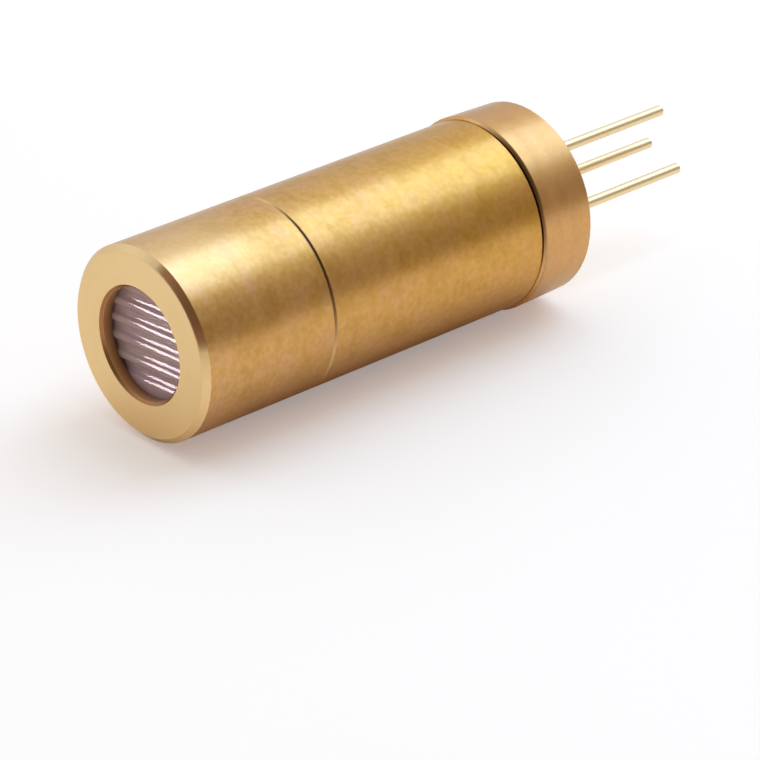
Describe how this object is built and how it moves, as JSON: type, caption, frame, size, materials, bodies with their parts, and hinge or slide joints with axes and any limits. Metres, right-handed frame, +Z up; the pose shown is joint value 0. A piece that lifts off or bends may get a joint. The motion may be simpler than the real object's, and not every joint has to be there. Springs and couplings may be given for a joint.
{
  "type": "laser diode module",
  "caption": "Round brass laser module with a ribbed line lens in its front cap, a rear ring and bare leads.",
  "frame": {"origin": "middle of the flat front face of the cap, on the beam axis", "axes": "the beam leaves along -Y, +Y runs back to the leads, +Z is up and +X is to the right when looking along +Y"},
  "size_m": [0.0082, 0.0288, 0.0082],
  "materials": {
    "housing_brass": "fine turned, satin, lightly mottled",
    "inner_brass": "turned",
    "gold_plating": "thin gold plating, satin",
    "line_lens_glass": "polished, ribbed",
    "collimator_glass": "polished",
    "window_glass": "polished",
    "seal_glass": "fused dark glass",
    "spring_steel": "drawn wire",
    "can_nickel": "nickel plated",
    "submount_ceramic": "fired ceramic",
    "chip": "polished semiconductor"
  },
  "bodies": {
    "root": {"front_cap": "housing_brass", "barrel": "housing_brass", "rear_ring": "housing_brass", "line_lens": "line_lens_glass", "lens_ring": "inner_brass", "collimator_cell": "inner_brass", "collimator_ring": "inner_brass", "diode_holder": "inner_brass", "collimator_lens": "collimator_glass", "focus_spring": "spring_steel", "diode_header": "gold_plating", "heat_sink_post": "gold_plating", "laser_lead": "gold_plating", "monitor_lead": "gold_plating", "common_lead": "gold_plating", "chip_wire": "gold_plating", "photodiode_wire": "gold_plating", "diode_can": "can_nickel", "can_window": "window_glass", "laser_lead_seal": "seal_glass", "monitor_lead_seal": "seal_glass", "submount": "submount_ceramic", "laser_chip": "chip", "monitor_photodiode": "chip"}
  },
  "joints": []
}
